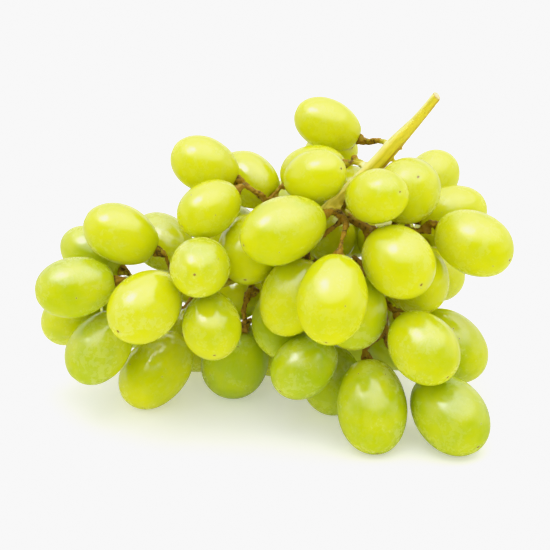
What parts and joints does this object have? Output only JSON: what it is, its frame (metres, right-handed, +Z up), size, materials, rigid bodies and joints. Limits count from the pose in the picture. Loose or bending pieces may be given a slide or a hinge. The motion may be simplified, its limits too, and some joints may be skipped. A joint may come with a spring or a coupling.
{
  "type": "bunch of grapes",
  "caption": "Bunch of pale green oval grapes on a branched stem, lying on its lower berries with the cut stalk standing up at one side.",
  "frame": {"origin": "on the surface that the bunch lies on, under the middle of its bounding box", "axes": "+X from the tail of the bunch to the shoulder where the stalk stands, +Y from the front of the bunch to its back, +Z up"},
  "size_m": [0.1494, 0.1022, 0.1004],
  "materials": {
    "berry_skin": "waxy, slightly translucent skin",
    "stalk_bark": "matt, green on the stalk and brown on the side branches"
  },
  "bodies": {
    "root": {"stem": "stalk_bark", "grape_foot_1": "berry_skin", "grape_foot_2": "berry_skin", "grape_foot_3": "berry_skin", "grape_foot_4": "berry_skin", "grape_foot_5": "berry_skin", "grape_foot_6": "berry_skin", "grape_wing_1": "berry_skin", "grape_wing_2": "berry_skin", "grape_wing_3": "berry_skin", "grape_wing_4": "berry_skin", "grape_wing_5": "berry_skin", "grape_wing_6": "berry_skin", "grape_wing_7": "berry_skin", "grape_wing_8": "berry_skin", "grape_wing_9": "berry_skin", "grape_wing_10": "berry_skin", "grape_crown_1": "berry_skin", "grape_crown_2": "berry_skin", "grape_crown_3": "berry_skin", "grape_crown_4": "berry_skin", "grape_crown_5": "berry_skin", "grape_top_1": "berry_skin", "grape_top_2": "berry_skin", "grape_top_3": "berry_skin", "grape_top_4": "berry_skin", "grape_front_1": "berry_skin", "grape_front_2": "berry_skin", "grape_front_3": "berry_skin", "grape_front_4": "berry_skin", "grape_middle_1": "berry_skin", "grape_middle_2": "berry_skin", "grape_middle_3": "berry_skin", "grape_middle_4": "berry_skin", "grape_middle_5": "berry_skin", "grape_under_1": "berry_skin", "grape_under_2": "berry_skin", "grape_under_3": "berry_skin", "grape_under_4": "berry_skin", "grape_tail_1": "berry_skin", "grape_tail_2": "berry_skin", "grape_tail_3": "berry_skin", "grape_tail_4": "berry_skin", "grape_tail_5": "berry_skin", "grape_tail_6": "berry_skin", "grape_tail_7": "berry_skin", "grape_rear_1": "berry_skin", "grape_rear_2": "berry_skin", "grape_rear_3": "berry_skin", "grape_rear_4": "berry_skin", "grape_rear_5": "berry_skin", "grape_rear_6": "berry_skin", "grape_rear_7": "berry_skin", "grape_rear_8": "berry_skin", "grape_rear_9": "berry_skin", "grape_rear_tail_1": "berry_skin", "grape_rear_tail_2": "berry_skin", "grape_rear_tail_3": "berry_skin"}
  },
  "joints": []
}
